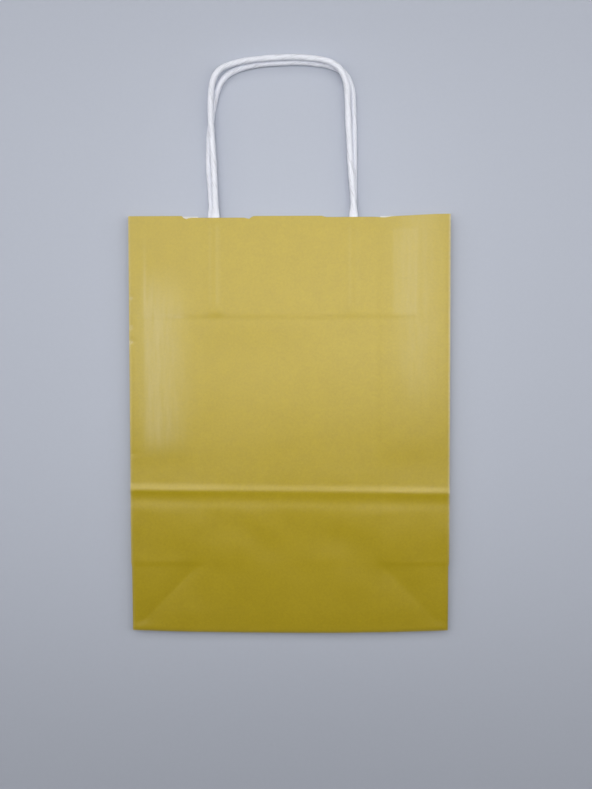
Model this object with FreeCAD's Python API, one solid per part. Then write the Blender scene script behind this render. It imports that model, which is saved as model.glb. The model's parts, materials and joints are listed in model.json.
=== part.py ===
import FreeCAD, Part
import math
import os

# A small block-bottom gift bag in coated paper, folded flat and lying on its back.
# +Z is the front panel's outward normal, +Y runs from the folded bottom to the handles.
# The origin is the middle of the block bottom's underside, the face the open bag stands on.
# Every sheet is a rigid facet between two fold lines, stacked in the order it is folded.

os.makedirs("parts", exist_ok=True)

# Overall sizes, mm
BAG_WIDTH = 180.0
BAG_HEIGHT = 235.0
BAG_DEPTH = 78.0
PAPER = 0.2

# Block bottom and side seam
FLAP_OVERLAP = 12.0
SEAM_WIDTH = 8.0

# Twisted-cord handles
CORD_DIAMETER = 3.5
HANDLE_HEIGHT = 86.5
LEG_MARGIN_LEFT = 9.8
LEG_MARGIN_RIGHT = 15.0
REAR_LEG_LEFT_OFFSET = -2.3
REAR_LEG_RIGHT_OFFSET = 0.3
CORD_FLOOR_GAP = 0.1
CORD_CROSSING_GAP = 0.3
HANDLE_START_GAP = 0.4

# Handle ends, pressed flat and glued between two strips of paper
END_WIDTH = 5.4
END_THICKNESS = 2.0
END_LENGTH = 52.0
END_EDGE_RADIUS = 0.9
PATCH_HEIGHT = 50.0
PATCH_TOP_GAP = 7.0
PATCH_MARGIN_LEFT = 8.6
PATCH_MARGIN_RIGHT = 19.4
PATCH_BUMP_RUN = 2.0
PATCH_CLEARANCE = 0.2

# Route of each handle as (share of leg spacing, share of handle height)
FRONT_ROUTE = [
    (0.000, 0.000),
    (-0.012, 0.354),
    (-0.037, 0.666),
    (-0.015, 0.912),
    (0.172, 0.974),
    (0.385, 0.994),
    (0.617, 1.001),
    (0.864, 0.970),
    (0.953, 0.855),
    (0.959, 0.669),
    (0.975, 0.345),
    (1.000, 0.000),
]
REAR_ROUTE = [
    (0.000, 0.000),
    (-0.026, 0.356),
    (0.001, 0.658),
    (0.067, 0.885),
    (0.241, 0.955),
    (0.441, 0.975),
    (0.659, 0.979),
    (0.895, 0.947),
    (0.986, 0.844),
    (0.998, 0.659),
    (1.003, 0.348),
    (1.000, 0.000),
]

# Derived positions
HALF_W = BAG_WIDTH / 2
HALF_D = BAG_DEPTH / 2
Y_BOTTOM = -HALF_D
Y_CREASE = 0.0
Y_FOOT = HALF_D
Y_TOP = Y_BOTTOM + BAG_HEIGHT

# Levels of the stack, from the surface up
Z_OUTER_FLAP = 0.0
Z_INNER_FLAP = PAPER
Z_BOTTOM_TUCK = 2 * PAPER
Z_TUCK = 3 * PAPER
Z_BACK_TRIANGLE = 4 * PAPER
Z_FOOT = 5 * PAPER
Z_BACK = 6 * PAPER
Z_BACK_INNER = 7 * PAPER
MOUTH_GAP = 2 * (2 * PAPER + END_THICKNESS) + PATCH_CLEARANCE
Z_FRONT = Z_BACK_INNER + MOUTH_GAP
Z_SEAM = Z_FRONT - PAPER

# Opening angle of the gusset leaves that just fills the mouth gap, degrees
REACH = math.hypot(BAG_DEPTH, 2 * PAPER)
REST_ANGLE = math.degrees(math.asin((Z_SEAM - Z_BACK_INNER) / REACH))
REST_ANGLE = REST_ANGLE - math.degrees(math.atan2(2 * PAPER, BAG_DEPTH))

# Handle positions
X_LEFT_FRONT = -(HALF_W - HALF_D) + LEG_MARGIN_LEFT
X_RIGHT_FRONT = (HALF_W - HALF_D) - LEG_MARGIN_RIGHT
X_LEFT_REAR = X_LEFT_FRONT + REAR_LEG_LEFT_OFFSET
X_RIGHT_REAR = X_RIGHT_FRONT + REAR_LEG_RIGHT_OFFSET
Z_REAR_CORD = CORD_FLOOR_GAP + CORD_DIAMETER / 2
Z_FRONT_CORD = Z_REAR_CORD + CORD_DIAMETER + CORD_CROSSING_GAP


def vec(x, y, z):
    return FreeCAD.Vector(x, y, z)


def slab(outline, z):
    """One flat facet of paper: an outline in plan, one paper thickness deep."""
    corners = [vec(x, y, z) for x, y in outline]
    face = Part.Face(Part.makePolygon(corners + corners[:1]))
    return face.extrude(vec(0, 0, PAPER))


def box(x0, x1, y0, y1, z0, z1):
    return Part.makeBox(x1 - x0, y1 - y0, z1 - z0, vec(x0, y0, z0))


def save(shape, node):
    assert shape.isValid() and len(shape.Solids) == 1, node
    shape.exportStep("parts/" + node + ".step")
    print(node, round(shape.Volume, 2))


def rounded_path(points, z):
    """Straight runs joined by tangent arcs, through the corners of a handle."""
    corners = [vec(x, y, z) for x, y in points]
    edges = []
    start = corners[0]
    for before, corner, after in zip(corners, corners[1:], corners[2:]):
        run_in = corner - before
        run_out = after - corner
        turn = run_in.getAngle(run_out)
        cut = 0.45 * min(run_in.Length, run_out.Length)
        dir_in = vec(*run_in).normalize()
        dir_out = vec(*run_out).normalize()
        enter = corner - dir_in * cut
        leave = corner + dir_out * cut
        radius = cut / math.tan(turn / 2)
        inward = (dir_out - dir_in).normalize()
        centre = corner + inward * (radius / math.cos(turn / 2))
        middle = centre - inward * radius
        edges.append(Part.makeLine(start, enter))
        edges.append(Part.Arc(enter, middle, leave).toShape())
        print("  bend radius", round(radius, 1), "turn", round(math.degrees(turn), 1))
        start = leave
    edges.append(Part.makeLine(start, corners[-1]))
    return Part.Wire(edges)


def handle_points(route, x_left, x_right):
    span = x_right - x_left
    y0 = Y_TOP + HANDLE_START_GAP
    return [(x_left + a * span, y0 + b * HANDLE_HEIGHT) for a, b in route]


def cord(points, z):
    """A round cord swept along its whole route."""
    path = rounded_path(points, z)
    first = vec(points[0][0], points[0][1], z)
    along = vec(points[1][0], points[1][1], z) - first
    ring = Part.Wire(Part.makeCircle(CORD_DIAMETER / 2, first, along))
    shape = path.makePipeShell([ring], True, False)
    section = math.pi * CORD_DIAMETER ** 2 / 4
    share = shape.Volume / (section * path.Length)
    print("  length", round(path.Length, 1), "volume share", round(share, 4))
    return shape


def pressed_end(x, z):
    """One end of a handle, pressed flat inside its strips."""
    half = END_WIDTH / 2
    bar = box(x - half, x + half, Y_TOP - END_LENGTH, Y_TOP, z, z + END_THICKNESS)
    sides = [e for e in bar.Edges if abs(e.tangentAt(e.FirstParameter).y) > 0.9]
    # The rounded edges leave a flat for the strips to be glued to
    radius = min(END_EDGE_RADIUS, 0.45 * min(END_THICKNESS, END_WIDTH))
    return bar.makeFillet(radius, sides)


def flat_strip(z):
    """The strip glued straight to the panel."""
    y1 = Y_TOP - PATCH_TOP_GAP
    x0 = -HALF_W + PATCH_MARGIN_LEFT
    x1 = HALF_W - PATCH_MARGIN_RIGHT
    return box(x0, x1, y1 - PATCH_HEIGHT, y1, z, z + PAPER)


def formed_strip(x_legs, z, rise):
    """The covering strip, formed over the two pressed ends."""
    half = END_WIDTH / 2
    x0 = -HALF_W + PATCH_MARGIN_LEFT
    x1 = HALF_W - PATCH_MARGIN_RIGHT
    lower = [(x0, z)]
    for x in x_legs:
        lower.append((x - half - PATCH_BUMP_RUN, z))
        lower.append((x - half, z + rise))
        lower.append((x + half, z + rise))
        lower.append((x + half + PATCH_BUMP_RUN, z))
    lower.append((x1, z))
    skin = PAPER if rise > 0 else -PAPER
    upper = [(x, level + skin) for x, level in reversed(lower)]
    y1 = Y_TOP - PATCH_TOP_GAP
    corners = [vec(x, y1 - PATCH_HEIGHT, level) for x, level in lower + upper]
    face = Part.Face(Part.makePolygon(corners + corners[:1]))
    return face.extrude(vec(0, PATCH_HEIGHT, 0))


# Back panel above its crease, and its foot folded up under it
save(slab([(-HALF_W, Y_CREASE), (HALF_W, Y_CREASE), (HALF_W, Y_TOP), (-HALF_W, Y_TOP)],
          Z_BACK), "back_panel")
save(slab([(-HALF_W, Y_CREASE), (HALF_W, Y_CREASE), (HALF_W, Y_FOOT), (-HALF_W, Y_FOOT)],
          Z_FOOT), "back_panel_foot")

# Front panel, full height, with the glued side seam behind its left edge
save(slab([(-HALF_W, Y_BOTTOM), (HALF_W, Y_BOTTOM), (HALF_W, Y_TOP), (-HALF_W, Y_TOP)],
          Z_FRONT), "front_panel")
save(box(-HALF_W, -HALF_W + SEAM_WIDTH, Y_BOTTOM, Y_TOP, Z_SEAM, Z_FRONT), "side_seam_flap")

# Block bottom: a flap from the front panel lapped over one from the back panel
FLAP = HALF_D + FLAP_OVERLAP
TAPER = HALF_W - FLAP
save(slab([(-HALF_W, Y_BOTTOM), (HALF_W, Y_BOTTOM),
           (TAPER, Y_BOTTOM + FLAP), (-TAPER, Y_BOTTOM + FLAP)],
          Z_OUTER_FLAP), "base_outer_flap")
save(slab([(-HALF_W, Y_FOOT), (HALF_W, Y_FOOT), (TAPER, Y_FOOT - FLAP), (-TAPER, Y_FOOT - FLAP)],
          Z_INNER_FLAP), "base_inner_flap")

# The side facets, left and right
for side, s in (("left", -1), ("right", 1)):
    edge = s * HALF_W
    inner = s * (HALF_W - HALF_D)
    triangle = [(edge, Y_BOTTOM), (edge, Y_FOOT), (inner, Y_CREASE)]
    save(slab(triangle, Z_BOTTOM_TUCK), side + "_bottom_tuck")
    save(slab(triangle, Z_TUCK), side + "_gusset_base_triangle")
    save(slab([(edge, Y_FOOT), (edge, Y_CREASE), (inner, Y_CREASE)], Z_BACK_TRIANGLE),
         side + "_gusset_back_triangle")

    # Back leaf, from the back panel's edge in to the gusset's middle crease
    turn = vec(0, s, 0)
    hinge = vec(edge, 0, Z_BACK_INNER)
    back_leaf = slab([(edge, Y_CREASE), (inner, Y_CREASE), (inner, Y_TOP), (edge, Y_TOP)],
                     Z_BACK_INNER)
    back_leaf.rotate(hinge, turn, REST_ANGLE)
    save(back_leaf, side + "_gusset_back_leaf")

    # Front leaf, from the middle crease out again to the front panel's edge
    front_leaf = slab([(edge, Y_BOTTOM), (inner, Y_CREASE), (inner, Y_TOP), (edge, Y_TOP)],
                      Z_BACK_INNER + PAPER)
    front_leaf.rotate(hinge, turn, REST_ANGLE)
    angle = math.radians(REST_ANGLE)
    reach = HALF_D * math.cos(angle) - PAPER * math.sin(angle)
    rise = HALF_D * math.sin(angle) + PAPER * math.cos(angle)
    crease = vec(edge - s * reach, 0, Z_BACK_INNER + rise)
    front_leaf.rotate(crease, turn, -2 * REST_ANGLE)
    save(front_leaf, side + "_gusset_front_leaf")
    print("  middle crease at x", round(crease.x, 4), "z", round(crease.z, 4))

# Rear handle: strips and pressed ends on the back panel, and the free loop
rear_legs = [X_LEFT_REAR, X_RIGHT_REAR]
save(flat_strip(Z_BACK_INNER), "rear_patch_outer")
save(formed_strip(rear_legs, Z_BACK_INNER + PAPER, END_THICKNESS), "rear_patch_inner")
for name, x in zip(("left", "right"), rear_legs):
    save(pressed_end(x, Z_BACK_INNER + PAPER), "rear_handle_end_" + name)
save(cord(handle_points(REAR_ROUTE, X_LEFT_REAR, X_RIGHT_REAR), Z_REAR_CORD), "rear_handle")

# Front handle: the same on the front panel
front_legs = [X_LEFT_FRONT, X_RIGHT_FRONT]
save(flat_strip(Z_FRONT - PAPER), "front_patch_outer")
save(formed_strip(front_legs, Z_FRONT - PAPER, -END_THICKNESS), "front_patch_inner")
for name, x in zip(("left", "right"), front_legs):
    save(pressed_end(x, Z_FRONT - PAPER - END_THICKNESS), "front_handle_end_" + name)
save(cord(handle_points(FRONT_ROUTE, X_LEFT_FRONT, X_RIGHT_FRONT), Z_FRONT_CORD), "front_handle")

print("rest angle", REST_ANGLE)
print("levels", Z_BACK_INNER, Z_SEAM, Z_FRONT, "cords", Z_REAR_CORD, Z_FRONT_CORD)
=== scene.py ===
"""Small block-bottom gift bag in gold coated paper, folded flat, with paper cord handles."""

import json
import math

import bmesh
import bpy
from bpy.props import FloatProperty, FloatVectorProperty, PointerProperty
from mathutils import Matrix, Vector, noise


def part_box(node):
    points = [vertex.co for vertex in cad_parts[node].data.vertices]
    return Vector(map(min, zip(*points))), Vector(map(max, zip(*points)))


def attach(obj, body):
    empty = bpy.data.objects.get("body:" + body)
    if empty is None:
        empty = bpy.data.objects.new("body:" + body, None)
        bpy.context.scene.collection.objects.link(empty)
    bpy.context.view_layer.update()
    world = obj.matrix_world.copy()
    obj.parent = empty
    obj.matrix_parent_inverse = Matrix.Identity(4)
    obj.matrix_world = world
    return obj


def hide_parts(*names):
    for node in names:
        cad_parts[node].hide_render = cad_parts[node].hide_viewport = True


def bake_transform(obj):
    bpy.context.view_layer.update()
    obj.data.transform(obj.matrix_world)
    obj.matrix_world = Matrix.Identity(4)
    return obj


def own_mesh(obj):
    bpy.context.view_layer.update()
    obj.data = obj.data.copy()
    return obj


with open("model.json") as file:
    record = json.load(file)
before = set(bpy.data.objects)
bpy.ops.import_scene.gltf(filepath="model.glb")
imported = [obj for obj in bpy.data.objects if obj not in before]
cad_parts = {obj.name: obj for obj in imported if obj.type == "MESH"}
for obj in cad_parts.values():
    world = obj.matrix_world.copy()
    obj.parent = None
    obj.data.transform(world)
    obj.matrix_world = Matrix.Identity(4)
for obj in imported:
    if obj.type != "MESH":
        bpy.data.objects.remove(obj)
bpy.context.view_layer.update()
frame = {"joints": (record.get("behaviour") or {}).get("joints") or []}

bl_info = {
    "name": "Folded Gift Bag",
    "version": (1, 0, 0),
    "blender": (4, 5, 0),
    "location": "View3D > Sidebar > Gift Bag",
    "description": "Builds a gift bag folded flat, its cord handles and its table",
    "category": "Add Mesh",
}

MM = 0.001

# Outline of the paper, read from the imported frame, in mm
PANEL_LOW, PANEL_HIGH = (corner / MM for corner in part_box("front_panel"))
FOOT_LOW, FOOT_HIGH = (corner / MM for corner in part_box("back_panel_foot"))
BACK_LOW, BACK_HIGH = (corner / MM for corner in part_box("back_panel"))
PATCH_LOW, PATCH_HIGH = (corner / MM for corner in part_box("front_patch_outer"))
HALF_W = PANEL_HIGH.x
Y_BOTTOM = PANEL_LOW.y
Y_TOP = PANEL_HIGH.y
Y_CREASE = FOOT_LOW.y
Y_FOOT = FOOT_HIGH.y
HALF_D = Y_FOOT - Y_CREASE
X_INNER = HALF_W - HALF_D
PAPER = PANEL_HIGH.z - PANEL_LOW.z

# Levels at the middle of each sheet
Z_FRONT = (PANEL_LOW.z + PANEL_HIGH.z) / 2
Z_BACK = (BACK_LOW.z + BACK_HIGH.z) / 2
Z_FOOT = (FOOT_LOW.z + FOOT_HIGH.z) / 2
Z_BACK_INNER = BACK_HIGH.z


def middle_z(node):
    """The middle height of a node's box, in mm."""
    low, high = (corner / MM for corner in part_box(node))
    return (low.z + high.z) / 2


def joint_at_rest(name):
    """The record's joint of that name."""
    return next(joint for joint in frame["joints"] if joint["name"] == name)


# The gusset's middle crease at rest, and the small angle its leaves stand open
CREASE_X = abs(joint_at_rest("left_gusset_middle_fold")["pos_m"][0]) / MM
CREASE_Z = joint_at_rest("left_gusset_middle_fold")["pos_m"][2] / MM
REST_ANGLE = math.radians(90.0 - joint_at_rest("left_gusset_back_fold")["range_deg"][1])


# ---------------------------------------------------------------------------
# Colour and node helpers
# ---------------------------------------------------------------------------
# Places of the colour sockets of a Mix node that mixes colours
MIX_A, MIX_B, MIX_OUT = 6, 7, 2


def linear(code):
    """An sRGB hex code as linear RGB with full alpha."""
    parts = [int(code[i:i + 2], 16) / 255 for i in (1, 3, 5)]
    parts = [c / 12.92 if c <= 0.04045 else ((c + 0.055) / 1.055) ** 2.4 for c in parts]
    return (*parts, 1.0)


def add(tree, kind, links=(), settings=(), sockets=(), stops=(), **values):
    """Adds one node and gives it back.

    links are (input, source), settings (field, value) of the node itself, sockets
    (place, value) of inputs by their place, values the inputs by name, and stops the
    (place, colour) pairs of a ramp.
    """
    made = tree.nodes.new(kind)
    for field, value in settings:
        setattr(made, field, value)
    for place, value in sockets:
        made.inputs[place].default_value = value
    for name, value in values.items():
        made.inputs[name.replace("_", " ")].default_value = value
    for socket, source in links:
        tree.links.new(source, made.inputs[socket])
    if stops:
        elements = made.color_ramp.elements
        while len(elements) < len(stops):
            elements.new(0.5)
        for element, (place, colour) in zip(elements, stops):
            element.position = place
            element.color = colour
    return made


def new_material(name):
    """An empty node material of that name, and its tree."""
    material = bpy.data.materials.new(name)
    material.use_nodes = True
    tree = material.node_tree
    tree.nodes.clear()
    return material, tree


def smooth(low, high, value):
    """0 below low, 1 above high, and an even curve between; low may be the larger."""
    share = min(1.0, max(0.0, (value - low) / (high - low)))
    return share * share * (3 - 2 * share)


def hump(value, centre, width):
    """A round hump of height 1 at centre."""
    return math.exp(-((value - centre) / width) ** 2)


def wave(x, y, size, seed):
    """Smooth random unevenness between about -0.5 and 0.5, size mm across."""
    return noise.noise(Vector((x / size, y / size, seed)))


# ---------------------------------------------------------------------------
# Materials
# ---------------------------------------------------------------------------
def coated_paper(settings):
    """Bleached kraft bag paper printed with pearl gold ink under a satin coating.

    The print gives an even ochre gold with faint mottle, its mica flakes and the coating a
    soft broad gloss, and the paper shows white where it is cut or a fold cracked the print.
    Over the gusset folds the print is painted paler, as painted sheen.
    """
    material, tree = new_material("gold_printed_satin_coated_paper")
    place = add(tree, "ShaderNodeTexCoord")
    # Print mottle about 9 mm across, and finer fibre cloudiness about 1.2 mm
    mottle = add(tree, "ShaderNodeTexNoise", [("Vector", place.outputs["Object"])],
                 Scale=110.0, Detail=3.0, Roughness=0.55)
    cloud = add(tree, "ShaderNodeTexNoise", [("Vector", place.outputs["Object"])],
                Scale=820.0, Detail=2.0, Roughness=0.6)
    share = add(tree, "ShaderNodeMath", [(0, mottle.outputs["Fac"])],
                [("operation", "MULTIPLY")], [(1, 0.35)])
    both = add(tree, "ShaderNodeMath", [(0, cloud.outputs["Fac"]), (2, share.outputs[0])],
               [("operation", "MULTIPLY_ADD")], [(1, 0.65)])
    deep = [c * 0.94 for c in settings.gold]
    pale = [min(1.0, c * 1.06) for c in settings.gold]
    printed = add(tree, "ShaderNodeValToRGB", [("Fac", both.outputs[0])],
                  stops=[(0.32, (*deep, 1.0)), (0.68, (*pale, 1.0))])
    # Cut edges face along the bag, so there the white core shows
    axes = add(tree, "ShaderNodeSeparateXYZ", [("Vector", place.outputs["Normal"])])
    cut = add(tree, "ShaderNodeMath", [(0, axes.outputs["Y"])],
              [("operation", "GREATER_THAN")], [(1, 0.6)])
    # Worn folds, held as a point attribute and broken up into flecks about 2.4 mm long
    worn = add(tree, "ShaderNodeAttribute", settings=[("attribute_name", "fold_wear")])
    fleck = add(tree, "ShaderNodeTexNoise", [("Vector", place.outputs["Object"])],
                Scale=420.0, Detail=4.0, Roughness=0.7)
    flecked = add(tree, "ShaderNodeMath",
                  [(0, worn.outputs["Fac"]), (1, fleck.outputs["Fac"])],
                  [("operation", "MULTIPLY")])
    worn_share = add(tree, "ShaderNodeMath", [(0, flecked.outputs[0])],
                     [("operation", "MULTIPLY"), ("use_clamp", True)], [(1, 1.25)])
    white = add(tree, "ShaderNodeMath", [(0, cut.outputs[0]), (1, worn_share.outputs[0])],
                [("operation", "MAXIMUM")])
    cracked = add(tree, "ShaderNodeMix",
                  [("Factor", white.outputs[0]), (MIX_A, printed.outputs["Color"])],
                  [("data_type", "RGBA")], [(MIX_B, linear("#E9E6DA"))])
    # Painted sheen: pale gold mixed into the print in place of gloss over the folds beneath, in
    # streaks 2.5 mm wide and 18 mm long
    sheen_paint = add(tree, "ShaderNodeAttribute", settings=[("attribute_name", "painted_sheen")])
    stretch = add(tree, "ShaderNodeMapping", [("Vector", place.outputs["Object"])],
                  Scale=(1.0, 0.14, 1.0))
    streak = add(tree, "ShaderNodeTexNoise", [("Vector", stretch.outputs["Vector"])],
                 Scale=400.0, Detail=2.0, Roughness=0.5)
    uneven = add(tree, "ShaderNodeMath", [(0, streak.outputs["Fac"])],
                 [("operation", "MULTIPLY_ADD")], [(1, 0.6), (2, 0.2)])
    sheen_share = add(tree, "ShaderNodeMath", [(0, sheen_paint.outputs["Fac"]), (1, uneven.outputs[0])],
                 [("operation", "MULTIPLY"), ("use_clamp", True)])
    # The pale gold #D9CFA4 mixed in here is the painted sheen
    colour = add(tree, "ShaderNodeMix",
                 [("Factor", sheen_share.outputs[0]), (MIX_A, cracked.outputs[MIX_OUT])],
                 [("data_type", "RGBA")], [(MIX_B, linear("#D9CFA4"))])
    # Satin coating: gloss a little uneven with the print
    gloss = add(tree, "ShaderNodeMapRange", [("Value", mottle.outputs["Fac"])],
                To_Min=settings.gloss_roughness - 0.015,
                To_Max=settings.gloss_roughness + 0.015)
    # Slow waves about 10 mm long, and fibre relief 0.4 mm apart, drawn coarser than real
    fibre = add(tree, "ShaderNodeTexNoise", [("Vector", place.outputs["Object"])],
                Scale=2400.0, Detail=2.0, Roughness=0.5)
    waves = add(tree, "ShaderNodeTexNoise", [("Vector", place.outputs["Object"])],
                Scale=95.0, Detail=2.0, Roughness=0.5)
    relief = add(tree, "ShaderNodeBump", [("Height", waves.outputs["Fac"])],
                 Strength=0.30, Distance=0.00035)
    relief = add(tree, "ShaderNodeBump",
                 [("Height", fibre.outputs["Fac"]), ("Normal", relief.outputs["Normal"])],
                 Strength=0.35, Distance=0.00005)
    shader = add(tree, "ShaderNodeBsdfPrincipled",
                 [("Base Color", colour.outputs[MIX_OUT]), ("Roughness", gloss.outputs["Result"]),
                  ("Normal", relief.outputs["Normal"])], IOR=1.72, Metallic=0.08)
    add(tree, "ShaderNodeOutputMaterial", [("Surface", shader.outputs["BSDF"])])
    return material


def bare_paper(settings):
    """The uncoated white back of bleached kraft: matt, faintly warm, with visible fibre."""
    material, tree = new_material("bare_bleached_kraft_paper")
    place = add(tree, "ShaderNodeTexCoord")
    # Fibre flocks about 1.5 mm across
    flock = add(tree, "ShaderNodeTexNoise", [("Vector", place.outputs["Object"])],
                Scale=650.0, Detail=4.0, Roughness=0.65)
    shade = add(tree, "ShaderNodeValToRGB", [("Fac", flock.outputs["Fac"])],
                stops=[(0.3, (*[c * 0.93 for c in settings.white], 1.0)),
                       (0.7, (*settings.white, 1.0))])
    fibre = add(tree, "ShaderNodeTexNoise", [("Vector", place.outputs["Object"])],
                Scale=2400.0, Detail=3.0, Roughness=0.6)
    relief = add(tree, "ShaderNodeBump", [("Height", fibre.outputs["Fac"])],
                 Strength=0.3, Distance=0.00006)
    rough = add(tree, "ShaderNodeMapRange", [("Value", flock.outputs["Fac"])],
                To_Min=0.78, To_Max=0.9)
    shader = add(tree, "ShaderNodeBsdfPrincipled",
                 [("Base Color", shade.outputs["Color"]), ("Roughness", rough.outputs["Result"]),
                  ("Normal", relief.outputs["Normal"])], IOR=1.47)
    add(tree, "ShaderNodeOutputMaterial", [("Surface", shader.outputs["BSDF"])])
    return material


def twisted_paper(settings):
    """White kraft ribbon rolled and twisted hard into a round cord.

    The twist leaves pale flats and thin seams that climb round the cord, darkened with painted
    shade.
    """
    material, tree = new_material("white_twisted_kraft_cord")
    lay = add(tree, "ShaderNodeAttribute", settings=[("attribute_name", "cord_lay")])
    # cord_lay holds the turned round direction in X and Y and the length in mm in Z
    place = add(tree, "ShaderNodeMapping", [("Vector", lay.outputs["Vector"])],
                Scale=(1.6, 1.6, 0.09))
    streak = add(tree, "ShaderNodeTexNoise", [("Vector", place.outputs["Vector"])],
                 Scale=2.2, Detail=4.0, Roughness=0.6)
    # Painted shade: the colour is darkened along the twist's grooves
    seam = add(tree, "ShaderNodeAttribute", settings=[("attribute_name", "cord_groove_shade")])
    tone = add(tree, "ShaderNodeMath",
               [(0, seam.outputs["Fac"]), (2, streak.outputs["Fac"])],
               [("operation", "MULTIPLY_ADD")], [(1, -0.12)])
    colour = add(tree, "ShaderNodeValToRGB", [("Fac", tone.outputs[0])],
                 stops=[(0.15, linear("#B9BABF")),
                        (0.45, (*[c * 0.95 for c in settings.cord], 1.0)),
                        (0.75, (*settings.cord, 1.0))])
    fine = add(tree, "ShaderNodeTexNoise", [("Vector", place.outputs["Vector"])],
               Scale=9.0, Detail=3.0, Roughness=0.6)
    relief = add(tree, "ShaderNodeBump", [("Height", fine.outputs["Fac"])],
                 Strength=0.35, Distance=0.00012)
    rough = add(tree, "ShaderNodeMapRange", [("Value", streak.outputs["Fac"])],
                To_Min=0.55, To_Max=0.75)
    shader = add(tree, "ShaderNodeBsdfPrincipled",
                 [("Base Color", colour.outputs["Color"]), ("Roughness", rough.outputs["Result"]),
                  ("Normal", relief.outputs["Normal"])], IOR=1.48)
    add(tree, "ShaderNodeOutputMaterial", [("Surface", shader.outputs["BSDF"])])
    return material


def table_top(settings):
    """A pale blue-grey matt laminate board, very finely grained."""
    material, tree = new_material("pale_matt_laminate_board")
    place = add(tree, "ShaderNodeTexCoord")
    # Grain about 2 mm across
    grain = add(tree, "ShaderNodeTexNoise", [("Vector", place.outputs["Object"])],
                Scale=500.0, Detail=3.0, Roughness=0.6)
    shade = add(tree, "ShaderNodeValToRGB", [("Fac", grain.outputs["Fac"])],
                stops=[(0.3, (*[c * 0.985 for c in settings.table], 1.0)),
                       (0.7, (*settings.table, 1.0))])
    shader = add(tree, "ShaderNodeBsdfPrincipled",
                 [("Base Color", shade.outputs["Color"])],
                 Roughness=0.75, IOR=1.45, Specular_IOR_Level=0.25)
    add(tree, "ShaderNodeOutputMaterial", [("Surface", shader.outputs["BSDF"])])
    return material


def finish(name, maker):
    """The material of that name, made on first use."""
    settings = bpy.context.scene.gift_bag
    return bpy.data.materials.get(name) or maker(settings)


def gold_paper():
    """The printed outside."""
    return finish("gold_printed_satin_coated_paper", coated_paper)


def white_paper():
    """The bare inside."""
    return finish("bare_bleached_kraft_paper", bare_paper)


def cord_paper():
    """The handles."""
    return finish("white_twisted_kraft_cord", twisted_paper)


# ---------------------------------------------------------------------------
# Paper sheets, with every place and height in mm
# ---------------------------------------------------------------------------
# Spacing of each sheet's grid; the front panel's is a setting
SEAM_CELL, BACK_CELL, LEAF_CELL, BASE_CELL = 2.0, 1.8, 1.9, 1.5
STRIP_CELL, COVER_CELL = 2.2, 1.3

# The ridge of the folded base across the front: its height at the middle, and its slant
RIDGE_Y, RIDGE_SLANT = 40.6, 0.011
# Bumps of the front cord ends: place and height
END_BUMPS = ((-41.2, 0.20), (36.0, 0.16))
# Knocks on the left fold: place and depth; all but the last have cracked the print
KNOCKS = ((149.5, 0.30), (133.0, 0.22), (125.0, 0.25), (62.0, 0.12))
# Places of the nicks along the top edge
NICK_LEFT, NICK_MIDDLE, NICK_RIGHT = -57.5, -22.5, 53.0
# Radius of the front panel's folds, and how far the block bottom's front fold reaches
FOLD_RADIUS, LIP_REACH = 0.5, 9.0
# The gussets are cut a little lower than the panels
LEAF_TOP = Y_TOP - 0.9
# The base flaps stop just short of the side folds, so their white backs stay hidden
TUCKED = 0.995


def object_from(bm, name, materials):
    """Turns bm into an object of the scene with these materials."""
    mesh = bpy.data.meshes.new(name)
    bm.to_mesh(mesh)
    bm.free()
    for material in materials:
        mesh.materials.append(material)
    made = bpy.data.objects.new(name, mesh)
    bpy.context.scene.collection.objects.link(made)
    return made


def grid(x0, x1, y0, y1, cell):
    """A flat grid of cells in plan."""
    bm = bmesh.new()
    columns = max(2, round((x1 - x0) / cell))
    rows = max(2, round((y1 - y0) / cell))
    place = Matrix.Translation(((x0 + x1) / 2, (y0 + y1) / 2, 0))
    place = place @ Matrix.Diagonal((x1 - x0, y1 - y0, 1, 1))
    bmesh.ops.create_grid(bm, x_segments=columns, y_segments=rows, size=0.5, matrix=place)
    return bm


def trim(bm, point, outward):
    """Cuts a sheet along a line in plan and drops what lies outward of it."""
    everything = bm.verts[:] + bm.edges[:] + bm.faces[:]
    bmesh.ops.bisect_plane(bm, geom=everything, dist=1e-4, plane_co=(*point, 0),
                           plane_no=(*outward, 0), clear_outer=True)


def sheet_object(name, bm, shape, body, nodes, inside_up=False, wear=None, sheen_paint=None,
                 finishes=None):
    """Bends a flat sheet with shape(x, y) -> (x, y, z) and makes it a piece of paper."""
    worn = bm.verts.layers.float.new("fold_wear")
    # This layer holds painted sheen: how much the print is painted paler in place of gloss
    sheen_share = bm.verts.layers.float.new("painted_sheen")
    for vert in bm.verts:
        x, y = vert.co.x, vert.co.y
        vert[worn] = wear(x, y) if wear else 0.0
        vert[sheen_share] = sheen_paint(x, y) if sheen_paint else 0.0
        vert.co = Vector(shape(x, y)) * MM
    if inside_up:
        bmesh.ops.reverse_faces(bm, faces=bm.faces[:])
    for face in bm.faces:
        face.smooth = True
    for edge in bm.edges:
        if edge.is_boundary:
            edge.smooth = False
    piece = object_from(bm, name, finishes or (gold_paper(), white_paper()))
    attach(piece, body)
    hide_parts(*nodes)
    paper = piece.modifiers.new("paper thickness", "SOLIDIFY")
    paper.thickness = PAPER * MM
    paper.offset = 0.0
    paper.material_offset = len(piece.data.materials) - 1
    return piece


def bottom_triangle(side):
    """A flat triangle at one side of the folded bottom, its point at the gusset's middle."""
    x0, x1 = sorted((side * HALF_W, side * X_INNER))
    bm = grid(x0, x1, Y_BOTTOM, Y_FOOT, BASE_CELL)
    trim(bm, (side * HALF_W, Y_BOTTOM), (-side, -1))
    trim(bm, (side * HALF_W, Y_FOOT), (-side, 1))
    return bm


def settle(y):
    """How the front panel climbs on to the folded base and sinks again beyond it."""
    climb = 0.22 * smooth(68, 42, y)
    return climb - 1.5 * smooth(40, -40, y) - 0.35 * smooth(-27, -39, y)


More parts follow.
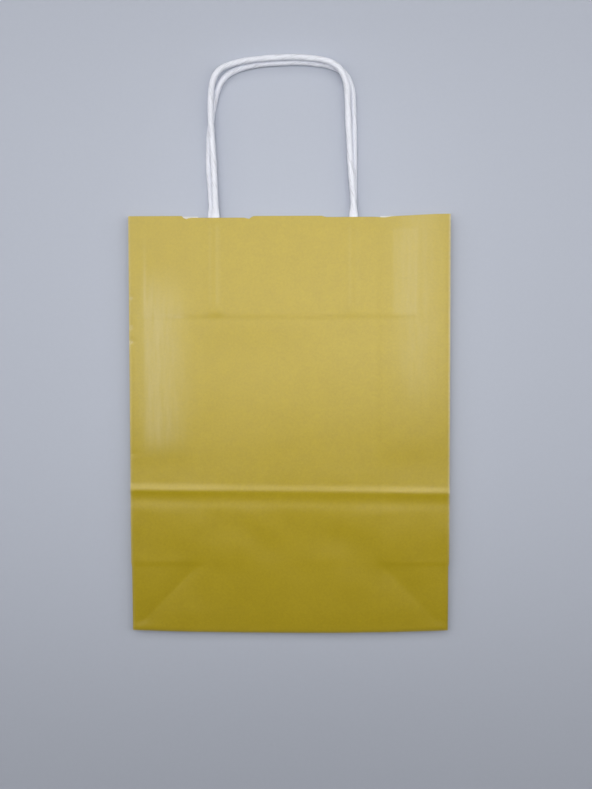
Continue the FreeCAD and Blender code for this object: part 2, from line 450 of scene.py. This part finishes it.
def lip(x, y):
    """How far the block bottom's front fold stands up to meet the front panel."""
    share = min(1.0, max(0.0, (Y_BOTTOM + LIP_REACH - y) / LIP_REACH))
    rise = Z_FRONT + settle(Y_BOTTOM) - 0.75
    rise *= 1 - 0.35 * smooth(HALF_W - 7, HALF_W - 1, abs(x))
    return rise * (1 - math.sqrt(max(0.0, 1 - share * share)))


def bow(x, y):
    """The bottom fold bows out a little towards the middle of the bag."""
    return -1.5 * (1 - (x / HALF_W) ** 2) * smooth(Y_BOTTOM + 26, Y_BOTTOM, y)


def top_edge(x):
    """Height of the knife-cut top edge against the nominal one: shallow steps with small nicks."""
    rise = -0.8
    rise -= 1.0 * smooth(-59.5, -58.5, x)
    rise += 0.9 * smooth(-21.5, -20.5, x)
    rise -= 0.7 * smooth(19.0, 20.0, x)
    rise += 1.5 * smooth(47.0, 88.0, x)
    rise -= 0.7 * hump(x, NICK_LEFT, 1.4) + 0.6 * hump(x, NICK_MIDDLE, 1.6)
    rise -= 0.5 * hump(x, NICK_RIGHT, 3.0)
    return rise


def stretch_top(y, edge):
    """Moves only the last few millimetres of a panel so that it ends on its cut edge."""
    return edge * smooth(Y_TOP - 6, Y_TOP, y)


def front_relief(x, y):
    """What shows through the front panel, and how it lies."""
    side = abs(x)
    # The top edge of the folded-up base, a soft ridge right across
    ridge_y = RIDGE_Y - RIDGE_SLANT * x
    strength = 0.75 + 0.60 * smooth(-25, -60, x) + 0.25 * smooth(50, 60, x)
    relief = 0.38 * strength * hump(y, ridge_y, 2.0)
    relief -= 0.16 * hump(y, ridge_y - 6.0, 3.2)
    # The panel dips before it climbs on to that edge
    relief -= (0.13 + 0.15 * smooth(30, 85, side)) * hump(y, 51.0, 12.0)
    # The step at the back panel's crease, and the folds of the base triangles
    over_gusset = smooth(X_INNER - 3, X_INNER + 2, side)
    relief += 0.24 * smooth(-1.9, -0.1, y) * (0.12 + 0.88 * over_gusset)
    across = ((HALF_W - side) - (y - Y_BOTTOM)) / math.sqrt(2)
    along = smooth(-38, -32, y) * smooth(4, -6, y) * smooth(HALF_W - 46, HALF_W - 34, side)
    relief -= (0.62 if x < 0 else 0.45) * math.exp(-abs(across) / 5.5) * along
    # Gusset leaves under both sides, and their middle crease
    relief += 0.10 * smooth(X_INNER - 1.5, X_INNER + 1.5, side)
    # Handle strips and the cord ends between them
    in_patch = smooth(PATCH_LOW.x - 0.8, PATCH_LOW.x + 0.8, x)
    in_patch *= smooth(PATCH_HIGH.x + 0.8, PATCH_HIGH.x - 0.8, x)
    in_patch *= smooth(PATCH_LOW.y - 0.9, PATCH_LOW.y + 0.9, y)
    in_patch *= smooth(PATCH_HIGH.y + 0.9, PATCH_HIGH.y - 0.9, y)
    relief += 0.12 * in_patch
    ends = smooth(PATCH_LOW.y - 1, PATCH_LOW.y + 4, y) * smooth(Y_TOP - 1, Y_TOP - 7, y)
    for leg, height in END_BUMPS:
        relief += height * smooth(4.2, 2.6, abs(x - leg)) * ends
    # The edge of the glued side seam
    relief += 0.07 * smooth(-81.2, -82.6, x)
    # A long low swell left of the middle, where the gusset holds the panel up
    relief += 0.30 * hump(x, -68.0, 12.0) * smooth(52, 84, y) * smooth(172, 146, y)
    # Slow unevenness of the whole panel, and small cockles over the folded base
    free = smooth(Y_TOP - 44, Y_TOP - 80, y)
    relief += (0.20 + 0.40 * free) * wave(x, y * 0.7, 78.0, 3.1)
    relief += (0.06 + 0.10 * free) * wave(x, y, 30.0, 7.7)
    relief += 0.15 * wave(x, y, 13.0, 1.3) * smooth(44, 20, y)
    relief += 0.50 * wave(x + y, y, 36.0, 5.5) * smooth(36, 10, y)
    relief += 0.12 * (1 - free)
    # The sides roll down slightly to their folds
    relief -= 0.16 * smooth(HALF_W - 7, HALF_W, side)
    for knock_y, depth in KNOCKS:
        relief -= depth * hump(x, -HALF_W + 1.0, 2.6) * hump(y, knock_y, 1.5)
    return relief + settle(y)


def folded_edge(x, y):
    """How far the panel drops where it rounds into its side and bottom folds."""
    drop = 0.0
    for gap in (HALF_W - abs(x), y - Y_BOTTOM):
        if gap < FOLD_RADIUS:
            share = 1 - max(0.0, gap) / FOLD_RADIUS
            drop = max(drop, FOLD_RADIUS * (1 - math.sqrt(max(0.0, 1 - share * share))))
    return drop


def narrowing(y):
    """The bag is a little narrower beyond the crease of the back panel."""
    return 1 - 0.0045 * smooth(0.0, -2.5, y)


def rolled(x, y, level, turn):
    """A sheet at level whose far edge rolls up (turn 1) or down (-1) into the foot's fold."""
    curl = smooth(Y_FOOT - 1.2, Y_FOOT, y)
    return x, y + 0.25 * curl, level + turn * 0.4 * curl ** 2


def front_shape(x, y):
    """The front panel at rest."""
    z = Z_FRONT + front_relief(x, y) - folded_edge(x, y)
    return x * narrowing(y), y + bow(x, y) + stretch_top(y, top_edge(x)), z


def front_wear(x, y):
    """Where the front panel's folds show white: print cracked at the knocks, and a pale line along
    the folds, stronger at the right towards the top.
    """
    edge = hump(x, -HALF_W, 0.7) * 0.25 + hump(x, HALF_W, 0.7) * 0.45 * smooth(-30, 60, y)
    edge += hump(y, Y_BOTTOM, 0.8) * 0.12
    for knock_y, _ in KNOCKS[:-1]:
        edge += 0.45 * hump(x, -HALF_W + 0.6, 1.3) * hump(y, knock_y, 0.9)
    return min(1.0, edge)


def front_painted_sheen(x, y):
    """Painted sheen: where the print is painted paler in place of gloss over the gusset folds
    beneath, and painted highlight lines.
    """
    left = (hump(x, -71.0, 12.0) + 0.5 * smooth(-82, -80.5, x) * smooth(-70, -77, x))
    left *= smooth(56, 76, y) * smooth(172, 138, y)
    right = 0.55 * hump(x, 72.0, 12.0) * smooth(70, 120, y)
    strip = 0.35 * smooth(57, 59, x) * smooth(71.5, 70, x)
    strip *= smooth(PATCH_LOW.y, PATCH_LOW.y + 2, y) * smooth(PATCH_HIGH.y, PATCH_HIGH.y - 2, y)
    # Painted highlight lines over the edges of the cord ends and of the strip
    lines = 0.6 * (0.4 * hump(x, -44.3, 0.7) + hump(x, -39.9, 0.7))
    lines += 0.25 * (hump(x, 33.6, 0.7) + 0.6 * hump(x, 38.4, 0.7))
    lines *= smooth(PATCH_LOW.y + 4, PATCH_LOW.y + 9, y) * smooth(Y_TOP - 3, Y_TOP - 9, y)
    lines += hump(y, PATCH_LOW.y + 0.3, 0.8) * smooth(-82, -81, x) * smooth(-55, -64, x)
    lines += 0.8 * hump(x, PATCH_LOW.x + 0.3, 0.8) * smooth(138, 140, y) * smooth(190, 150, y)
    return 0.38 * min(1.3, left + right + strip + lines)


def back_relief(x, y):
    """The back panel settles towards the table above the folded base."""
    inner = smooth(HALF_W, HALF_W - 14, abs(x))
    relief = -0.75 * smooth(Y_FOOT + 1, Y_FOOT + 14, y) * inner
    return relief + 0.10 * wave(x, y, 42.0, 12.4) * inner * smooth(Y_FOOT, Y_FOOT + 8, y)


def leaf_point(x, y, side, front, lift=0.0):
    """A point of a gusset leaf at rest, from its place in the closed fold."""
    depth = HALF_W - abs(x)
    if front:
        lift += (settle(y) - 0.2) * max(0.0, 1 - depth / HALF_D) - 0.5 * smooth(2.5, 0, depth)
    c, s = math.cos(REST_ANGLE), math.sin(REST_ANGLE)
    if front:
        back = HALF_D - depth
        px = side * (CREASE_X + back * c + (PAPER / 2 + lift) * s - 0.3 * smooth(2.5, 0, depth))
        px *= narrowing(y)
        pz = CREASE_Z + back * s + (PAPER / 2 + lift) * c
    else:
        px = side * (HALF_W - depth * c + (PAPER / 2 + lift) * s)
        pz = Z_BACK_INNER + depth * s + (PAPER / 2 + lift) * c
    return px, y, pz


# ---------------------------------------------------------------------------
# Cords
# ---------------------------------------------------------------------------
# Nominal height of a loop, and where its route starts above the top edge, in mm
HANDLE_HEIGHT, HANDLE_START = 86.5, 0.4
# The loop stands upright this far above the top edge; inside the mouth the cord lies flat
# this far down, and starts this far down
STAND, FLAT_FROM, INSIDE = 7, 3, 10
# Sides of the cord's mesh, and the spacing of its rings in mm
CORD_SIDES, CORD_STEP = 28, 0.55
# The twist's seams: direction round the cord in radians, and depth
GROOVES = ((0.0, 1.0), (2.5, 0.45))
# Each handle's route: share of the leg spacing, share of the handle's height
FRONT_ROUTE = [
    (0.000, 0.000), (-0.012, 0.354), (-0.037, 0.666), (-0.015, 0.912), (0.172, 0.974),
    (0.385, 0.994), (0.617, 1.001), (0.864, 0.970), (0.953, 0.855), (0.959, 0.669),
    (0.975, 0.345), (1.000, 0.000),
]
REAR_ROUTE = [
    (0.000, 0.000), (-0.026, 0.356), (0.001, 0.658), (0.067, 0.885), (0.241, 0.955),
    (0.441, 0.975), (0.659, 0.979), (0.895, 0.947), (0.986, 0.844), (0.998, 0.659),
    (1.003, 0.348), (1.000, 0.000),
]


def cord_route(route, legs, z_loop, z_end):
    """The handle's control points in metres, from inside the mouth round and back in."""
    span = legs[1] - legs[0]
    start = Y_TOP + HANDLE_START
    points = [Vector((legs[0] + a * span, start + b * HANDLE_HEIGHT, z_loop)) for a, b in route]
    first = [Vector((legs[0], Y_TOP - down, z_end)) for down in (INSIDE, FLAT_FROM)]
    last = [Vector((legs[1], Y_TOP - down, z_end)) for down in (FLAT_FROM, INSIDE)]
    points[0].y += STAND
    points[-1].y += STAND
    return [p * MM for p in first + points + last]


def nurbs_line(name, points):
    """Evenly read points of the smooth line with these control points."""
    curve = bpy.data.curves.new(name + "_line", "CURVE")
    curve.dimensions = "3D"
    curve.resolution_u = 40
    spline = curve.splines.new("NURBS")
    spline.points.add(len(points) - 1)
    for point, place in zip(spline.points, points):
        point.co = (*place, 1.0)
    spline.order_u = 3
    spline.use_endpoint_u = True
    holder = bpy.data.objects.new(name + "_line", curve)
    mesh = bpy.data.meshes.new_from_object(holder)
    line = [v.co.copy() for v in mesh.vertices]
    bpy.data.objects.remove(holder)
    bpy.data.curves.remove(curve)
    bpy.data.meshes.remove(mesh)
    return line


def even_steps(line, step):
    """The same line read at even steps, and its length."""
    lengths = [0.0]
    for a, b in zip(line, line[1:]):
        lengths.append(lengths[-1] + (b - a).length)
    count = max(2, round(lengths[-1] / step))
    read, k = [], 0
    for i in range(count + 1):
        want = lengths[-1] * i / count
        while k < len(lengths) - 2 and lengths[k + 1] < want:
            k += 1
        gap = max(1e-9, lengths[k + 1] - lengths[k])
        read.append(line[k].lerp(line[k + 1], min(1.0, (want - lengths[k]) / gap)))
    return read, lengths[-1]


def cord_mesh(name, line, radius, pitch, press, seed):
    """A twisted paper cord along line; press(point) is 0 where round and 1 where pressed.

    Gives back the object, the line's even points and the length.
    """
    read, length = even_steps(line, CORD_STEP * MM)
    bm = bmesh.new()
    lay = bm.verts.layers.float_vector.new("cord_lay")
    # This layer holds the groove depth, which the cord's material uses as painted shade in the
    # grooves
    seam = bm.verts.layers.float.new("cord_groove_shade")
    rings = []
    for i, point in enumerate(read):
        before = read[max(0, i - 1)]
        after = read[min(len(read) - 1, i + 1)]
        tangent = (after - before).normalized()
        side = tangent.cross(Vector((0, 0, 1))).normalized()
        up = side.cross(tangent).normalized()
        frame_here = Matrix((side, up, tangent)).transposed().to_4x4()
        frame_here.translation = point
        made = bmesh.ops.create_circle(bm, segments=CORD_SIDES, radius=1.0)
        s_mm = length / MM * i / (len(read) - 1)
        turn = 2 * math.pi * s_mm / pitch + 0.5 * noise.noise(Vector((s_mm / 22, seed, 0.3)))
        flat = press(point)
        thick = 1 - 0.50 * flat
        wide = 1 + 0.35 * flat
        for k, vert in enumerate(made["verts"]):
            angle = math.atan2(vert.co.y, vert.co.x)
            own = angle - turn
            groove = 0.0
            for centre, depth in GROOVES:
                gap = (own - centre + math.pi) % (2 * math.pi) - math.pi
                groove += depth * math.exp(-(gap / 0.30) ** 2)
            swell = noise.noise(Vector((math.cos(own) * 0.9, math.sin(own) * 0.9,
                                        s_mm / 9 + seed)))
            r = radius * (1.0 - 0.075 * groove + 0.04 * swell + 0.03 * math.cos(2 * own + 1))
            place = Vector((math.cos(angle) * r * wide, math.sin(angle) * r * thick, 0))
            vert.co = frame_here @ place
            vert[lay] = Vector((math.cos(own), math.sin(own), s_mm))
            vert[seam] = min(1.0, groove)
        rings.append(bm.edges[-CORD_SIDES:])
    for first, second in zip(rings, rings[1:]):
        bmesh.ops.bridge_loops(bm, edges=first + second)
    for ring in (rings[0], rings[-1]):
        bmesh.ops.edgeloop_fill(bm, edges=ring)
    bmesh.ops.recalc_face_normals(bm, faces=bm.faces[:])
    for face in bm.faces:
        face.smooth = True
    return object_from(bm, name, [cord_paper()]), read, length


# ---------------------------------------------------------------------------
# Sizes and colours
# ---------------------------------------------------------------------------
class GiftBagSettings(bpy.types.PropertyGroup):
    """Sizes and colours of the gift bag that a user would change."""

    gold: FloatVectorProperty(
        name="Gold print", description="Linear colour of the printed outside",
        default=linear("#B39C19")[:3], subtype="COLOR", size=3, min=0, max=1)
    white: FloatVectorProperty(
        name="White inside", description="Linear colour of the bare inside",
        default=linear("#E8E6E0")[:3], subtype="COLOR", size=3, min=0, max=1)
    cord: FloatVectorProperty(
        name="Cord", description="Linear colour of the twisted cord",
        default=linear("#F2F4FD")[:3], subtype="COLOR", size=3, min=0, max=1)
    table: FloatVectorProperty(
        name="Table", description="Linear colour of the table top",
        default=linear("#BCC1CD")[:3], subtype="COLOR", size=3, min=0, max=1)
    gloss_roughness: FloatProperty(
        name="Coating roughness", description="Roughness of the satin coating",
        default=0.30, min=0.05, max=1.0, subtype="FACTOR")
    panel_cell: FloatProperty(
        name="Panel grid", description="Spacing of the panels' mesh",
        default=0.0013, min=0.001, max=0.01, unit="LENGTH")
    cord_pitch: FloatProperty(
        name="Cord twist", description="Length of one turn of the twisted cord",
        default=0.034, min=0.005, max=0.08, unit="LENGTH")
    key_power: FloatProperty(
        name="Softbox", description="Power of the wide softbox over the table",
        default=5.0, min=0.0, max=100.0, unit="POWER")
    window_power: FloatProperty(
        name="Window", description="Power of the low window beyond the handles",
        default=8.0, min=0.0, max=100.0, unit="POWER")
    side_power: FloatProperty(
        name="Side lights", description="Power of each light beside the bag",
        default=1.9, min=0.0, max=100.0, unit="POWER")
    pool_power: FloatProperty(
        name="Middle pool", description="Power of the weak light down the middle",
        default=2.9, min=0.0, max=100.0, unit="POWER")


# ---------------------------------------------------------------------------
# Operators, one for each group of pieces
# ---------------------------------------------------------------------------
# Half the table's side and the camera's place in metres, and its turn in degrees
TABLE_HALF = 3.0
CAMERA_PLACE = (0.01352, 0.12262, 0.62145)
CAMERA_TURN = (-2.539, 0.916, -0.075)


class GIFTBAG_OT_front_panel(bpy.types.Operator):
    """Makes the front panel with everything that shows through it"""

    bl_idname = "giftbag.front_panel"
    bl_label = "Front Panel"

    def execute(self, context):
        cell = context.scene.gift_bag.panel_cell / MM
        bm = grid(-HALF_W, HALF_W, Y_BOTTOM, Y_TOP, cell)
        # The front panel carries painted sheen: paler print in place of gloss over the folds
        piece = sheet_object("front_panel_paper", bm, front_shape, "front",
                             ["front_panel"], wear=front_wear,
                             sheen_paint=front_painted_sheen)
        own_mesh(piece)
        # The glue seam behind the left fold
        seam_low, seam_high = (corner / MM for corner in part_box("side_seam_flap"))
        bm = grid(seam_low.x + 0.6, seam_high.x, seam_low.y + 1, seam_high.y - 2, SEAM_CELL)

        def seam(x, y):
            return x, y, Z_FRONT + front_relief(x, y) - PAPER - 0.05

        piece = sheet_object("side_seam_flap_paper", bm, seam, "front",
                             ["side_seam_flap"])
        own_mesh(piece)
        return {"FINISHED"}


class GIFTBAG_OT_back_panel(bpy.types.Operator):
    """Makes the back panel and its foot, folded up underneath"""

    bl_idname = "giftbag.back_panel"
    bl_label = "Back Panel and Foot"

    def execute(self, context):
        bm = grid(-HALF_W, HALF_W, Y_CREASE, Y_TOP, BACK_CELL)

        def panel(x, y):
            rise = top_edge(x) - 0.35 + 0.95 * hump(x, NICK_RIGHT, 4.0)
            rise += 0.25 * hump(x, NICK_LEFT, 1.8) + 0.5 * hump(x, NICK_MIDDLE, 2.2)
            return x, y + stretch_top(y, rise), Z_BACK + back_relief(x, y)

        piece = sheet_object("back_panel_paper", bm, panel, "back", ["back_panel"],
                             inside_up=True,
                             wear=lambda x, y: 0.2 * hump(abs(x), HALF_W, 0.9))
        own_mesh(piece)

        bm = grid(-HALF_W, HALF_W, Y_CREASE, Y_FOOT, BACK_CELL)
        sheet_object("back_foot_paper", bm, lambda x, y: rolled(x, y, Z_FOOT, -1),
                     "back_foot", ["back_panel_foot"],
                     wear=lambda x, y: 0.5 * hump(y, Y_FOOT, 0.9))
        return {"FINISHED"}


class GIFTBAG_OT_gussets(bpy.types.Operator):
    """Makes the folded side gussets: two leaves and two triangles on each side"""

    bl_idname = "giftbag.gussets"
    bl_label = "Side Gussets"

    def execute(self, context):
        for name, side in (("left", -1), ("right", 1)):
            x0, x1 = sorted((side * HALF_W, side * X_INNER))

            def ripple(x, y, seed):
                depth = (HALF_W - abs(x)) / HALF_D
                return 0.22 * wave(x, y, 55.0, seed) * math.sin(math.pi * depth)

            bm = grid(x0, x1, Y_CREASE, LEAF_TOP, LEAF_CELL)
            sheet_object(name + "_gusset_back_leaf_paper", bm,
                         lambda x, y: leaf_point(x, y, side, False, ripple(x, y, 2.2)),
                         name + "_back_leaf", [name + "_gusset_back_leaf"],
                         wear=lambda x, y: 0.35 * hump(abs(x), X_INNER, 0.8))
            bm = grid(x0, x1, Y_BOTTOM, LEAF_TOP, LEAF_CELL)
            trim(bm, (side * HALF_W, Y_BOTTOM), (-side, -1))
            sheet_object(name + "_gusset_front_leaf_paper", bm,
                         lambda x, y: leaf_point(x, y, side, True, ripple(x, y, 5.2)),
                         name + "_front_leaf", [name + "_gusset_front_leaf"],
                         inside_up=True,
                         wear=lambda x, y: 0.35 * hump(abs(x), X_INNER, 0.8))
            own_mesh(bpy.data.objects[name + "_gusset_front_leaf_paper"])

            level = middle_z(name + "_gusset_base_triangle")
            piece = sheet_object(name + "_gusset_base_triangle_paper", bottom_triangle(side),
                                 lambda x, y: (x * narrowing(y), y, level + lip(x, y)),
                                 name + "_base_triangle",
                                 [name + "_gusset_base_triangle"])
            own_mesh(piece)

            middle = middle_z(name + "_gusset_back_triangle")
            bm = grid(x0, x1, Y_CREASE, Y_FOOT, BASE_CELL)
            trim(bm, (side * HALF_W, Y_FOOT), (-side, 1))
            sheet_object(name + "_gusset_back_triangle_paper", bm,
                         lambda x, y: (x, y, middle), name + "_back_triangle",
                         [name + "_gusset_back_triangle"],
                         inside_up=True)
        return {"FINISHED"}


class GIFTBAG_OT_block_bottom(bpy.types.Operator):
    """Makes the block bottom: two lapped flaps over the glued side tucks"""

    bl_idname = "giftbag.block_bottom"
    bl_label = "Block Bottom"

    def execute(self, context):
        def flatten(piece):
            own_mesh(piece)

        # Outer flap, from the front fold, its cut end lapped over the inner one
        outer = middle_z("base_outer_flap")
        end_y = (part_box("base_outer_flap")[1] / MM).y
        bm = grid(-HALF_W, HALF_W, Y_BOTTOM, end_y, BASE_CELL)
        trim(bm, (-HALF_W, Y_BOTTOM), (-1, 1))
        trim(bm, (HALF_W, Y_BOTTOM), (1, 1))
        piece = sheet_object("base_outer_flap_paper", bm,
                             lambda x, y: (x * narrowing(y) * TUCKED, y + 0.35 * bow(x, y),
                                           outer + lip(x, y)), "base",
                             ["base_outer_flap"], inside_up=True,
                             wear=lambda x, y: 0.35 * hump(y, Y_BOTTOM, 0.8))
        flatten(piece)

        # Inner flap, from the fold with the back panel's foot
        level = middle_z("base_inner_flap")
        end_y = (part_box("base_inner_flap")[0] / MM).y
        bm = grid(-HALF_W, HALF_W, end_y, Y_FOOT, BASE_CELL)
        trim(bm, (-HALF_W, Y_FOOT), (-1, -1))
        trim(bm, (HALF_W, Y_FOOT), (1, -1))
        piece = sheet_object("base_inner_flap_paper", bm, lambda x, y: rolled(x, y, level, 1),
                             "base", ["base_inner_flap"],
                             inside_up=True, wear=lambda x, y: 0.5 * hump(y, Y_FOOT, 0.9))
        flatten(piece)

        # Side tucks glued inside the flaps
        for name, side in (("left", -1), ("right", 1)):
            tuck = middle_z(name + "_bottom_tuck")
            piece = sheet_object(name + "_bottom_tuck_paper", bottom_triangle(side),
                                 lambda x, y: (x * narrowing(y) * TUCKED, y,
                                               tuck + lip(x, y)), "base",
                                 [name + "_bottom_tuck"],
                                 inside_up=True)
            flatten(piece)
        return {"FINISHED"}


class GIFTBAG_OT_handle_strips(bpy.types.Operator):
    """Makes the paper strips that hold the cord ends inside the mouth"""

    bl_idname = "giftbag.handle_strips"
    bl_label = "Handle Strips"

    def execute(self, context):
        both = (white_paper(), white_paper())
        for name, body, face in (("front", "front", -1), ("rear", "back", 1)):
            legs = [(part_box(name + "_handle_end_" + s)[0].x
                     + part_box(name + "_handle_end_" + s)[1].x) / 2 / MM
                    for s in ("left", "right")]
            low, high = (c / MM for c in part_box(name + "_patch_outer"))
            level = (low.z + high.z) / 2
            bm = grid(low.x, high.x, low.y, high.y, STRIP_CELL)
            sheet_object(name + "_strip_on_panel", bm, lambda x, y: (x, y, level), body,
                         [name + "_patch_outer"],
                         inside_up=(face < 0), finishes=both)
            bm = grid(low.x + 0.4, high.x - 0.4, low.y + 0.4, high.y - 0.4, COVER_CELL)

            def cover(x, y):
                swell = sum(math.exp(-(abs(x - leg) / 4.3) ** 4) for leg in legs)
                swell *= smooth(low.y + 1.5, low.y + 6.5, y)
                return x, y, level + face * (PAPER + 2.0 * min(1.0, swell))

            sheet_object(name + "_strip_over_cord", bm, cover, body,
                         [name + "_patch_inner"],
                         inside_up=(face < 0), finishes=both)
        return {"FINISHED"}


class GIFTBAG_OT_handles(bpy.types.Operator):
    """Makes the two twisted paper cord handles and their pressed ends"""

    bl_idname = "giftbag.handles"
    bl_label = "Cord Handles"

    def execute(self, context):
        pitch = context.scene.gift_bag.cord_pitch / MM
        for name, route, body, seed in (("rear", REAR_ROUTE, "back", 4.0),
                                        ("front", FRONT_ROUTE, "front", 9.0)):
            low, high = (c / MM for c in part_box(name + "_handle"))
            ends = [[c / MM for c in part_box(name + "_handle_end_" + s)]
                    for s in ("left", "right")]
            legs = [(a.x + b.x) / 2 for a, b in ends]
            z_end = (ends[0][0].z + ends[0][1].z) / 2
            z_loop = (low.z + high.z) / 2
            radius = (high.z - low.z) / 2
            points = cord_route(route, legs, z_loop, z_end)
            line = nurbs_line(name + "_handle", points)

            def press(point):
                return smooth((Y_TOP + 7) * MM, (Y_TOP - 1) * MM, point.y)

            piece, read, length = cord_mesh(name + "_handle_cord", line, radius * MM, pitch,
                                            press, seed)
            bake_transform(piece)
            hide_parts(name + "_handle")

            for which, (a, b) in zip(("left", "right"), ends):
                x = (a.x + b.x) / 2
                straight = [Vector((x, y, z_end)) * MM
                            for y in (a.y, a.y + 16, a.y + 32, b.y - 11)]
                end, _, _ = cord_mesh(f"{name}_pressed_end_{which}", straight, radius * MM,
                                      pitch, lambda point: 1.0, seed + 1)
                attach(end, body)
                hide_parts(f"{name}_handle_end_{which}")
        return {"FINISHED"}


class GIFTBAG_OT_stage(bpy.types.Operator):
    """Makes the table top, the soft lights and the camera"""

    bl_idname = "giftbag.stage"
    bl_label = "Stage"

    def execute(self, context):
        settings = context.scene.gift_bag
        bm = bmesh.new()
        bmesh.ops.create_grid(bm, x_segments=8, y_segments=8, size=TABLE_HALF)
        table = object_from(bm, "table_top", [finish("pale_matt_laminate_board", table_top)])

        world = bpy.data.worlds.new("studio")
        world.use_nodes = True
        sky = world.node_tree.nodes["Background"].inputs
        sky["Color"].default_value = (0.95, 0.97, 1.0, 1)
        sky["Strength"].default_value = 0.06
        context.scene.world = world

        # A softbox over the handles, whose lower edge ends its gloss across the bag
        self.area_light(context, "overhead_softbox", settings.key_power,
                        place=(0.0, 0.283, 0.80), aim=(0.0, 0.283, 0.0),
                        width=1.6, height=0.55)
        # A low window beyond the handles, so shadows fall towards the bag's bottom
        self.area_light(context, "low_window", settings.window_power,
                        place=(-0.25, 1.70, 1.45), aim=(0.0, 0.10, 0.0),
                        width=1.4, height=0.6)
        # Two soft side lights, for the soft shadows along the bag's sides and the legs
        for name, side in (("left", -1), ("right", 1)):
            self.area_light(context, name + "_side_light", settings.side_power,
                            place=(side * 0.95, 0.25, 0.62), aim=(0.0, 0.18, 0.0),
                            width=0.7, height=0.6)
        # Two weak pools of light down the middle, kept out of the gloss
        for x in (-0.10, 0.11):
            data = bpy.data.lights.new("middle_pool", "SPOT")
            data.energy = settings.pool_power
            data.spot_size = math.radians(40.0)
            data.spot_blend = 1.0
            data.shadow_soft_size = 0.05
            pool = bpy.data.objects.new("middle_pool", data)
            pool.location = (x, 0.140, 0.75)
            pool.visible_glossy = False
            pool.visible_camera = False
            context.scene.collection.objects.link(pool)
        context.scene.view_settings.view_transform = "Standard"

        data = bpy.data.cameras.new("camera")
        data.lens = 50.0
        data.sensor_width = 36.0
        data.clip_start = 0.01
        camera = bpy.data.objects.new("camera", data)
        context.scene.collection.objects.link(camera)
        turn = Matrix.Identity(4)
        for angle, axis in zip(CAMERA_TURN, "XYZ"):
            turn = turn @ Matrix.Rotation(math.radians(angle), 4, axis)
        camera.matrix_world = Matrix.Translation(CAMERA_PLACE) @ turn
        context.scene.camera = camera
        return {"FINISHED"}

    def area_light(self, context, name, power, place, aim, width, height):
        """One rectangular soft light at place, facing aim."""
        data = bpy.data.lights.new(name, "AREA")
        data.shape = "RECTANGLE"
        data.size = width
        data.size_y = height
        data.energy = power
        lamp = bpy.data.objects.new(name, data)
        lamp.location = place
        lamp.rotation_euler = (Vector(aim) - Vector(place)).to_track_quat("-Z", "Y").to_euler()
        lamp.visible_camera = False
        context.scene.collection.objects.link(lamp)


class GIFTBAG_PT_panel(bpy.types.Panel):
    """Lists the gift bag's pieces and settings"""

    bl_idname = "GIFTBAG_PT_panel"
    bl_label = "Gift Bag"
    bl_space_type = "VIEW_3D"
    bl_region_type = "UI"
    bl_category = "Gift Bag"

    def draw(self, context):
        settings = context.scene.gift_bag
        for field in GiftBagSettings.__annotations__:
            self.layout.prop(settings, field)
        for operator in OPERATORS:
            self.layout.operator(operator.bl_idname)


OPERATORS = (
    GIFTBAG_OT_stage,
    GIFTBAG_OT_handles,
    GIFTBAG_OT_front_panel,
    GIFTBAG_OT_back_panel,
    GIFTBAG_OT_gussets,
    GIFTBAG_OT_block_bottom,
    GIFTBAG_OT_handle_strips,
)
CLASSES = (GiftBagSettings, *OPERATORS, GIFTBAG_PT_panel)


def register():
    for cls in CLASSES:
        bpy.utils.register_class(cls)
    bpy.types.Scene.gift_bag = PointerProperty(type=GiftBagSettings)


def unregister():
    del bpy.types.Scene.gift_bag
    for cls in reversed(CLASSES):
        bpy.utils.unregister_class(cls)


def main():
    register()
    bpy.ops.giftbag.stage()
    bpy.ops.giftbag.handles()
    bpy.ops.giftbag.front_panel()
    bpy.ops.giftbag.back_panel()
    bpy.ops.giftbag.gussets()
    bpy.ops.giftbag.block_bottom()
    bpy.ops.giftbag.handle_strips()


if __name__ == "__main__":
    main()
